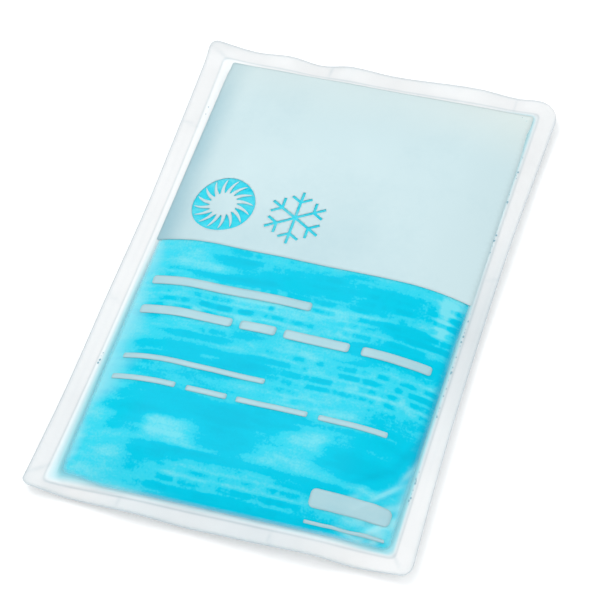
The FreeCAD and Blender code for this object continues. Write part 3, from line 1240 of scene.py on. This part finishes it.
    def fold(self, x: Array, y: Array) -> Array:
        """Deep narrow bands along the right side and the foot, and painted shade in the creases of the lower
        right.

        Args:
            x: places across.
            y: places along.

        Returns:
            The share of the deep colour at each place, 0 to 1.
        """
        right = GEL_EDGE.right_at(y) - x
        side = np.exp(-((right - 1.0) / 1.5) ** 2) * soft_step(-y, -12, 6) * soft_step(y, -84, -60)
        # painted shade in the creases where the film turns down
        turn = sum(crease.at(x, y) for crease in self.turns)
        low = y - GEL_EDGE.bottom_at(x)
        foot = np.exp(-((low - 0.4) / 1.1) ** 2) * soft_step(x, -36, -24) * (1 - soft_step(x, 30, 44))
        return np.clip(self.side_fold * side + self.turn_shade * turn + self.foot_fold * foot, 0, 1)

    def build(self, finish: bpy.types.Material) -> bpy.types.Object:
        """Make and dress the gel.

        Args:
            finish: finish of the gel.

        Returns:
            The piece.
        """
        core = GEL_EDGE.inset(*(self.core_inset,) * 4)
        sheet = Sheet(GEL_EDGE, core, (self.corner,) * 4, self.pitch,
                      rim_lines=(0.0, 0.12, 0.3, 0.55, 0.8, 1.0), ledge=(0.6, 1.2))
        x, y = sheet.grid()
        top = FORM.front_skin(x, y, FORM.lining(x, y) - CLEARANCE)
        bottom = FORM.back_skin(x, y, -CLEARANCE)
        middle = (top + bottom) / 2
        inset = GEL_EDGE.depth(x, y, GEL_RADIUS)
        bulge = np.sqrt(np.clip(inset / self.round_over, self.least_bulge, 1.0))
        piece, _ = sheet.solid("gel_filling", x, y, middle + (top - middle) * bulge,
                               middle + (bottom - middle) * bulge)
        piece.data.materials.append(finish)
        for name, values in (("wetting", self.wetting(x, y)), ("rows", self.rows(x, y)),
                             ("thinness_and_glints", self.thinness_and_glints(x, y)), ("fold", self.fold(x, y))):
            carry(piece, name, np.tile(values.ravel(), 2))
        finish_piece(piece, [Node.GEL])
        return piece


Loop = list[tuple[float, float]]


def circle(x: float, y: float, radius: float, points: int = 72) -> Loop:
    """Closed round outline."""
    turns = [2 * math.pi * k / points for k in range(points)]
    return [(x + radius * math.cos(t), y + radius * math.sin(t)) for t in turns]


def rounded_bar(left: float, right: float, bottom: float, top: float, radius: float) -> Loop:
    """Closed outline of a bar with round corners.

    Args:
        left: left side.
        right: right side.
        bottom: lower side.
        top: upper side.
        radius: radius of the corners.

    Returns:
        The outline.
    """
    loop = []
    corners = ((right - radius, top - radius, 0), (left + radius, top - radius, 90),
               (left + radius, bottom + radius, 180), (right - radius, bottom + radius, 270))
    for x, y, start in corners:
        for k in range(7):
            turn = math.radians(start + 15 * k)
            loop.append((x + radius * math.cos(turn), y + radius * math.sin(turn)))
    return loop


def spaced(loop: Loop, pitch: float) -> Loop:
    """Divide an outline, so that it can follow the swollen film.

    Args:
        loop: closed outline.
        pitch: greatest distance between two points.

    Returns:
        The same outline with more points.
    """
    result = []
    for (ax, ay), (bx, by) in zip(loop, loop[1:] + loop[:1]):
        count = max(1, math.ceil(math.hypot(bx - ax, by - ay) / pitch))
        result += [(ax + (bx - ax) * k / count, ay + (by - ay) * k / count) for k in range(count)]
    return result


@dataclass
class Print:
    """A thin coat of ink on the front film, cut to outlines.

    Fields:
        name: name of the piece.
        kept: outlines of the ink.
        bare: outlines left free in it.
        added: outlines of ink inside the bare ones.
        pitch: distance between the points inside.
    """

    name: str
    kept: list[Loop]
    bare: list[Loop] = field(default_factory=list)
    added: list[Loop] = field(default_factory=list)
    pitch: float = 1.2

    def inner_points(self) -> list[tuple[float, float]]:
        """Lay an even field of points over the boxes of the kept outlines.

        Returns:
            The points.
        """
        found = []
        for loop in self.kept:
            xs, ys = [p[0] for p in loop], [p[1] for p in loop]
            for k, y in enumerate(places(min(ys), max(ys), self.pitch)[1:-1]):
                shift = self.pitch / 2 * (k % 2)
                found += [(x + shift, y) for x in places(min(xs), max(xs), self.pitch)[1:-2]]
        return found

    def build(self, finish: bpy.types.Material) -> bpy.types.Object:
        """Make and dress the coat of ink, with its own thickness and edge.

        Args:
            finish: finish of the ink.

        Returns:
            The piece.
        """
        loops = [spaced(loop, self.pitch) for loop in self.kept + self.bare + self.added]
        points, edges, faces = [], [], []
        for loop in loops:
            start, count = len(points), len(loop)
            points += [Vector(p) for p in loop]
            edges += [(start + k, start + (k + 1) % count) for k in range(count)]
            faces.append(list(range(start, start + count)))
        points += [Vector(p) for p in self.inner_points()]
        verts, _, triangles, _, _, origins = delaunay_2d_cdt(points, edges, faces, 0, 1e-5)
        first_bare, first_added = len(self.kept), len(self.kept) + len(self.bare)
        used = []
        for triangle, origin in zip(triangles, origins):
            kept = any(k < first_bare for k in origin)
            bare = any(first_bare <= k < first_added for k in origin)
            added = any(k >= first_added for k in origin)
            if kept and (added or not bare):
                used.append(triangle)
        piece = self.thick(np.array([tuple(v) for v in verts]), used)
        piece.data.materials.append(finish)
        return piece

    def thick(self, flat: Array, triangles: Sequence[Sequence[int]]) -> bpy.types.Object:
        """Lay the triangles on the front film and give them the ink's thickness.

        Args:
            flat: points as they lie in the drawing.
            triangles: places of each triangle's points.

        Returns:
            The piece, closed all round.
        """
        needed = sorted({k for t in triangles for k in t})
        order = {old: new for new, old in enumerate(needed)}
        x, y = flat[needed, 0], flat[needed, 1]
        low = FORM.front_skin(x, y, FILM + INK_CLEARANCE)
        high = low + INK
        n = len(needed)
        turned = []
        for t in triangles:
            a, b, c = (order[k] for k in t)
            area = (x[b] - x[a]) * (y[c] - y[a]) - (x[c] - x[a]) * (y[b] - y[a])
            turned.append((a, b, c) if area > 0 else (a, c, b))
        sides = dict.fromkeys((t[k], t[(k + 1) % 3]) for t in turned for k in range(3))
        rim = [(a, b) for a, b in sides if (b, a) not in sides]
        faces = [list(t) for t in turned] + [[c + n, b + n, a + n] for a, b, c in turned]
        faces += [[a + n, b + n, b, a] for a, b in rim]
        points = np.concatenate([np.stack([x, y, high], -1), np.stack([x, y, low], -1)])
        piece = new_mesh(self.name, points, faces)
        for polygon in piece.data.polygons[2 * len(turned):]:
            polygon.use_smooth = False
        return piece


@dataclass
class PrintedPanel:
    """The pale panel, bare at a sun and a snowflake.

    Fields:
        sun, sun_opening, sun_disc: middle of the sun, radius of its opening and of its disc.
        rays, ray_root, ray_reach: how many rays, where they start as a share of the disc's
            radius, and radius of their tips.
        ray_width, ray_sweep, ray_steps: their width at the root, sweep in degrees and steps.
        flake, arms, arm: middle of the snowflake, how many arms it has and their length.
        fork, branch, branch_angle: place along an arm, length and turn in degrees of its branches.
        stroke: width of the snowflake's strokes.
    """

    sun: tuple[float, float] = (-37.8, 23.8)
    sun_opening: float = 12.0
    sun_disc: float = 5.2
    rays: int = 16
    ray_root: float = 0.85
    ray_reach: float = 11.4
    ray_width: float = 1.7
    ray_sweep: float = 14.0
    ray_steps: int = 8
    flake: tuple[float, float] = (-9.8, 23.8)
    arms: int = 6
    arm: float = 11.7
    fork: float = 7.0
    branch: float = 4.4
    branch_angle: float = 60.0
    stroke: float = 1.1

    def ray(self, direction: float) -> Loop:
        """One ray, wide at the disc and swept to a point.

        Args:
            direction: turn of the ray's root in degrees.

        Returns:
            The ray's outline.
        """
        left, right = [], []
        root = self.sun_disc * self.ray_root
        for k in range(self.ray_steps + 1):
            t = k / self.ray_steps
            radius = root + (self.ray_reach - root) * t
            turn = math.radians(direction - self.ray_sweep * t ** 1.4)
            half = self.ray_width / 2 * (1 - t) ** 0.55 / radius
            for side, bank in ((half, left), (-half, right)):
                bank.append((self.sun[0] + radius * math.cos(turn + side),
                             self.sun[1] + radius * math.sin(turn + side)))
        return right + left[-2::-1]

    def strokes(self) -> list[Loop]:
        """Draw the straight strokes of the snowflake.

        Returns:
            The strokes' outlines.
        """
        loops = []
        for k in range(self.arms):
            turn = math.radians(90 + 360 * k / self.arms)
            loops.append(self.stroke_from(self.flake, turn, self.arm))
            fork = (self.flake[0] + self.fork * math.cos(turn), self.flake[1] + self.fork * math.sin(turn))
            spread = math.radians(self.branch_angle)
            loops += [self.stroke_from(fork, turn + side * spread, self.branch) for side in (-1, 1)]
        return loops

    def stroke_from(self, start: tuple[float, float], turn: float, length: float) -> Loop:
        """Draw one straight stroke.

        Args:
            start: middle of its foot.
            turn: its direction.
            length: its length.

        Returns:
            The stroke's outline.
        """
        cx, cy = math.cos(turn), math.sin(turn)
        half = self.stroke / 2
        ends = ((0, -half), (length, -half), (length, half), (0, half))
        return [(start[0] + a * cx - b * cy, start[1] + a * cy + b * cx) for a, b in ends]

    def build(self, finish: bpy.types.Material) -> bpy.types.Object:
        """Make and dress the panel.

        Args:
            finish: finish of the ink.

        Returns:
            The piece.
        """
        field_edge = rounded_bar(PANEL.left, PANEL.right, PANEL.bottom, PANEL.top, PANEL_RADIUS)
        rays = [self.ray(360 * k / self.rays) for k in range(self.rays)]
        sheet = Print("pale_panel", [field_edge], [circle(*self.sun, self.sun_opening)] + self.strokes(),
                      [circle(*self.sun, self.sun_disc)] + rays)
        piece = sheet.build(finish)
        finish_piece(piece, [Node.PANEL])
        return piece


@dataclass(frozen=True)
class Line:
    """One line of plain bars in the window.

    Fields:
        spans: start and end of each bar.
        base: lower edge of the bars.
        height: their height.
        rounding: radius of their corners, as a share of the height.
    """

    spans: tuple[tuple[float, float], ...]
    base: float
    height: float
    rounding: float = 0.3

    def bars(self) -> list[Loop]:
        """Outlines of the bars, round at their corners."""
        top, radius = self.base + self.height, self.rounding * self.height
        return [rounded_bar(start, end, self.base, top, radius) for start, end in self.spans]


@dataclass
class PlainPrint:
    """Lines of plain bars in silver-grey ink in the window."""

    lines: tuple[Line, ...] = (
        Line(((-53.0, 8.0),), -13.6, 3.6),
        Line(((-53.0, -17.5), (-14.5, -1.0), (2.0, 26.0), (30.5, 55.5)), -26.6, 3.6),
        Line(((-52.0, 1.5),), -46.0, 2.1),
        Line(((-53.0, -28.5), (-24.5, -9.5), (-6.0, 20.0), (24.0, 48.5)), -55.0, 2.1),
        Line(((30.0, 58.0),), -86.0, 6.4),
        Line(((30.0, 58.0),), -91.2, 1.1),
    )

    def build(self, finish: bpy.types.Material) -> bpy.types.Object:
        """Make and dress the bars.

        Args:
            finish: finish of the ink.

        Returns:
            The piece.
        """
        loops = [bar for line in self.lines for bar in line.bars()]
        piece = Print("plain_print", loops, pitch=0.9).build(finish)
        finish_piece(piece)
        return piece


@dataclass(frozen=True)
class TrappedAir:
    """Tiny air bubbles caught in the weld; the eye sees blue-grey specks."""

    name: str = "trapped_air"
    colour: str = "#86AEBD"
    roughness: float = 0.2
    ior: float = 1.3

    def make(self) -> bpy.types.Material:
        """Build the bubbles' material.

        Returns:
            The material.
        """
        material, tree = new_tree(self.name)
        surface(tree, Base_Color=linear(self.colour), Roughness=self.roughness, IOR=self.ior)
        return material


@dataclass
class WeldBubbles:
    """Specks of air along the weld, scattered by a node tree over narrow strips.

    Fields:
        strips: middle x, lower and upper y, and width of each strip.
        size: radius of an average bubble.
        per_area: bubbles to each square millimetre.
        seed: start of the random draws.
        lift: height of their middles over the film.
        least, most: smallest and largest bubble, as a share of the average one.
        shape: how far a bubble is drawn out along each axis.
    """

    strips: tuple[tuple[float, float, float, float], ...] = (
        (61.6, -42.0, 4.0, 0.5), (61.6, 30.0, 38.0, 0.5), (61.7, 52.0, 58.0, 0.5), (61.8, 64.0, 76.0, 0.5),
        (61.7, -75.0, -62.0, 0.5), (-60.9, 64.0, 72.0, 0.5), (-61.0, -50.0, -44.0, 0.5),
    )
    size: float = 0.22
    per_area: float = 0.9
    seed: int = 3
    lift: float = 0.05
    least: float = 0.5
    most: float = 1.6
    shape: tuple[float, float, float] = (1.0, 1.4, 0.5)

    def tree(self, finish: bpy.types.Material) -> tuple[bpy.types.NodeTree, dict[str, str]]:
        """Build the node tree.

        Args:
            finish: finish of the bubbles.

        Returns:
            The tree, and the identifier of each of its number inputs by name.
        """
        tree = bpy.data.node_groups.new("weld_bubbles", "GeometryNodeTree")
        tree.interface.new_socket("Geometry", in_out="INPUT", socket_type="NodeSocketGeometry")
        names = {}
        for name in ("Bubble size", "Bubbles per area"):
            socket = tree.interface.new_socket(name, in_out="INPUT", socket_type="NodeSocketFloat")
            names[name] = socket.identifier
        tree.interface.new_socket("Geometry", in_out="OUTPUT", socket_type="NodeSocketGeometry")
        given = add(tree, Kind.GROUP_INPUT).outputs
        points = add(tree, Kind.DISTRIBUTE, Mesh=given["Geometry"], Density=given["Bubbles per area"],
                     Seed=self.seed)
        uneven = add(tree, Kind.RANDOM, {"data_type": "FLOAT"}, i2=self.least, i3=self.most,
                     Seed=self.seed)
        width = add(tree, Kind.MATH, TIMES, i0=uneven.outputs[1], i1=given["Bubble size"])
        shape = add(tree, Kind.VECTOR_MATH, {"operation": "SCALE"}, i0=self.shape, Scale=width)
        ball = add(tree, Kind.BALL, Radius=1.0, Subdivisions=2)
        placed = add(tree, Kind.INSTANCE, Points=points, Instance=ball, Scale=shape)
        real = add(tree, Kind.REALIZE, Geometry=placed)
        dressed = add(tree, Kind.SET_MATERIAL, Geometry=real, Material=finish)
        add(tree, Kind.GROUP_OUTPUT, Geometry=dressed)
        return tree, names

    def ground(self) -> bpy.types.Object:
        """Lay narrow strips on the front film for the bubbles to be scattered over.

        Returns:
            The strips, as one object.
        """
        points, faces = [], []
        for middle, low, high, width in self.strips:
            rows = places(low, high, 2.0)
            for y in rows:
                for x in (middle - width / 2, middle + width / 2):
                    points.append((x, y))
            start = len(points) - 2 * len(rows)
            faces += [(start + 2 * k, start + 2 * k + 1, start + 2 * k + 3, start + 2 * k + 2)
                      for k in range(len(rows) - 1)]
        flat = np.array(points)
        height = FORM.front_face(flat[:, 0], flat[:, 1], FILM) + self.lift
        return new_mesh("weld_bubbles", np.column_stack([flat, height]), faces)

    def build(self, finish: bpy.types.Material) -> bpy.types.Object:
        """Make and dress the bubbles, as one plain mesh.

        Args:
            finish: finish of the bubbles.

        Returns:
            The piece.
        """
        piece = self.ground()
        tree, names = self.tree(finish)
        modifier = piece.modifiers.new("bubbles", "NODES")
        modifier.node_group = tree
        modifier[names["Bubble size"]] = self.size * MM
        modifier[names["Bubbles per area"]] = self.per_area / MM ** 2
        seen = piece.evaluated_get(bpy.context.evaluated_depsgraph_get())
        mesh = bpy.data.meshes.new_from_object(seen)
        piece.modifiers.clear()
        piece.data = mesh
        finish_piece(piece)
        return piece


@dataclass(frozen=True)
class Lamp:
    """One large soft square lamp; place and size in metres, power in watts."""

    name: str
    place: tuple[float, float, float]
    size: float
    power: float

    def build(self) -> None:
        """Add the lamp, turned to the pack."""
        data = bpy.data.lights.new(self.name, "AREA")
        data.energy, data.size = self.power, self.size
        lamp = bpy.data.objects.new(self.name, data)
        bpy.context.scene.collection.objects.link(lamp)
        lamp.location = self.place
        lamp.rotation_euler = (-Vector(self.place)).to_track_quat("-Z", "Y").to_euler()


@dataclass
class Studio:
    """Pale floor, soft light and a camera at the photograph's angle.

    Fields:
        target: point that the camera looks at, in millimetres.
        azimuth, elevation, roll: turn of the camera in degrees.
        distance: from the camera to the target, in millimetres.
        lens: focal length for a 36 mm wide picture.
        lamps: the two lamps.
        world_light: strength of the surrounding light on the pack.
        world_seen: what the eye sees on top of it, so that it sees white.
        floor_colour, floor_roughness: colour and roughness of the floor.
        floor_glow: what the eye sees on top of the floor's own light.
        floor_half: half of the floor's side, in millimetres.
        floor_drop: how far the floor lies under the pack, in millimetres.
    """

    target: tuple[float, float, float] = (0.75, -5.41, 3.6)
    azimuth: float = 27.507
    elevation: float = 55.82
    roll: float = -11.39
    distance: float = 752.3
    lens: float = 126.08
    lamps: tuple[Lamp, ...] = (Lamp("key", (-0.45, 0.35, 1.05), 0.7, 3.9),
                               Lamp("fill", (0.75, -0.35, 0.9), 1.0, 2.4))
    world_light: float = 0.8
    world_seen: float = 0.2
    floor_colour: str = "#EDEFF0"
    floor_roughness: float = 0.9
    floor_glow: float = 0.24
    floor_half: float = 3000.0
    floor_drop: float = 0.05

    def camera(self) -> None:
        """Set up the camera."""
        a, e, r = (math.radians(v) for v in (self.azimuth, self.elevation, self.roll))
        forward = Vector((-math.sin(a) * math.cos(e), math.cos(a) * math.cos(e), -math.sin(e)))
        level = forward.cross(Vector((0, 0, 1))).normalized()
        upright = level.cross(forward)
        right = level * math.cos(r) + upright * math.sin(r)
        up = upright * math.cos(r) - level * math.sin(r)
        data = bpy.data.cameras.new("camera")
        data.lens, data.sensor_width, data.clip_start, data.clip_end = self.lens, 36.0, 0.01, 20.0
        camera = bpy.data.objects.new("camera", data)
        bpy.context.scene.collection.objects.link(camera)
        place = Vector(self.target) * MM - forward * self.distance * MM
        turn = Matrix((right, up, -forward)).transposed().to_4x4()
        camera.matrix_world = Matrix.Translation(place) @ turn
        bpy.context.scene.camera = camera

    def seen(self, tree: bpy.types.NodeTree) -> bpy.types.Node:
        """Tell the eye's rays, straight, off gloss and through clear film, from the light's.

        Args:
            tree: node tree of the floor or the world.

        Returns:
            The node whose first output is 1 for the eye's rays.
        """
        path = add(tree, Kind.LIGHT_PATH).outputs
        either = add(tree, Kind.MATH, LARGER, i0=path["Is Camera Ray"], i1=path["Is Glossy Ray"])
        return add(tree, Kind.MATH, LARGER, i0=either, i1=path["Is Transmission Ray"])

    def floor(self) -> None:
        """Add the floor: white where it is lit, with the pack's shadow on it."""
        half = self.floor_half
        corners = np.array([(-half, -half, 0.0), (half, -half, 0.0), (half, half, 0.0), (-half, half, 0.0)])
        floor = new_mesh("floor", corners - (0, 0, self.floor_drop), [(0, 1, 2, 3)])
        material, tree = new_tree("pale_floor")
        glow = add(tree, Kind.MATH, TIMES, i0=self.seen(tree), i1=self.floor_glow)
        surface(tree, Base_Color=linear(self.floor_colour), Roughness=self.floor_roughness,
                Emission_Color=linear("#FFFFFF"), Emission_Strength=glow)
        floor.data.materials.append(material)

    def world(self) -> None:
        """Set up the soft surrounding light, white to the eye."""
        world = bpy.data.worlds.new("studio")
        world.use_nodes = True
        tree = world.node_tree
        tree.nodes.clear()
        strength = add(tree, Kind.MATH, TIMES_PLUS, i0=self.seen(tree), i1=self.world_seen,
                       i2=self.world_light)
        back = add(tree, Kind.BACKGROUND, Color=linear("#FFFFFF"), Strength=strength)
        add(tree, Kind.WORLD_OUTPUT, Surface=back)
        bpy.context.scene.world = world

    def build(self) -> None:
        """Set up the whole studio."""
        self.camera()
        self.floor()
        self.world()
        for lamp in self.lamps:
            lamp.build()
        bpy.context.scene.view_settings.view_transform = "Standard"


def main() -> None:
    """Build the studio and the pack's pieces in order."""
    logging.basicConfig(level=logging.INFO, format="%(name)s %(message)s")
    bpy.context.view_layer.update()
    Studio().build()
    Films().build(ClearVinyl().make(), CutFilmEdge().make())
    Gel().build(CyanGel().make())
    PrintedPanel().build(PaleInk().make())
    PlainPrint().build(SilverInk().make())
    WeldBubbles().build(TrappedAir().make())


if __name__ == "__main__":
    main()
